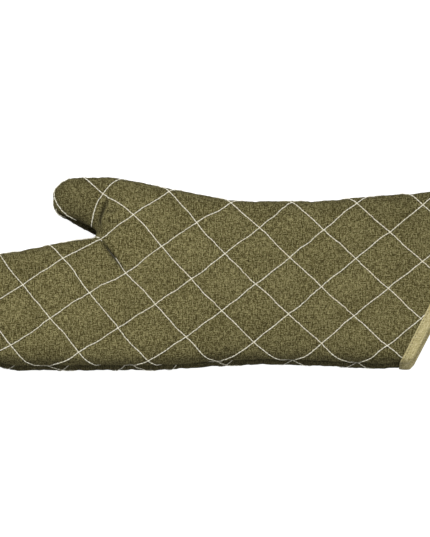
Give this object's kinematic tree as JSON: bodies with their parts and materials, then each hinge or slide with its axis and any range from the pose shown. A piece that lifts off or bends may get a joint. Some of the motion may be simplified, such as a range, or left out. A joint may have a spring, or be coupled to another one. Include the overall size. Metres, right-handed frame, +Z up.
{
  "type": "oven mitt",
  "caption": "Long quilted oven mitt with one thumb, a slanted open cuff bound with folded tape, and a hollow inside for hand and forearm.",
  "frame": {"origin": "centre of the mitt's box in plan, at the height of the surface that it lies on", "axes": "+X from the fingertips to the cuff, +Y from the little-finger side to the thumb side, +Z up out of the front panel"},
  "size_m": [0.4312, 0.1522, 0.036],
  "materials": {
    "shell_cloth": "olive green heathered cotton, plain weave, matt",
    "batting": "undyed needled cotton felt",
    "lining_cloth": "natural undyed brushed cotton, plain weave, matt",
    "binding_tape": "khaki herringbone cotton tape, matt",
    "quilting_thread": "ecru spun polyester, soft sheen",
    "binding_thread": "khaki spun thread",
    "seam_thread": "olive spun thread"
  },
  "bodies": {
    "root": {"back_batting": "batting", "back_bobbin_quilting": "quilting_thread", "back_lining": "lining_cloth", "back_quilting_falling": "quilting_thread", "back_quilting_rising": "quilting_thread", "back_shell": "shell_cloth", "binding_stitching": "binding_thread", "cuff_binding": "binding_tape", "front_batting": "batting", "front_bobbin_quilting": "quilting_thread", "front_lining": "lining_cloth", "front_quilting_falling": "quilting_thread", "front_quilting_rising": "quilting_thread", "front_shell": "shell_cloth", "side_seam_stitching": "seam_thread"}
  },
  "joints": []
}
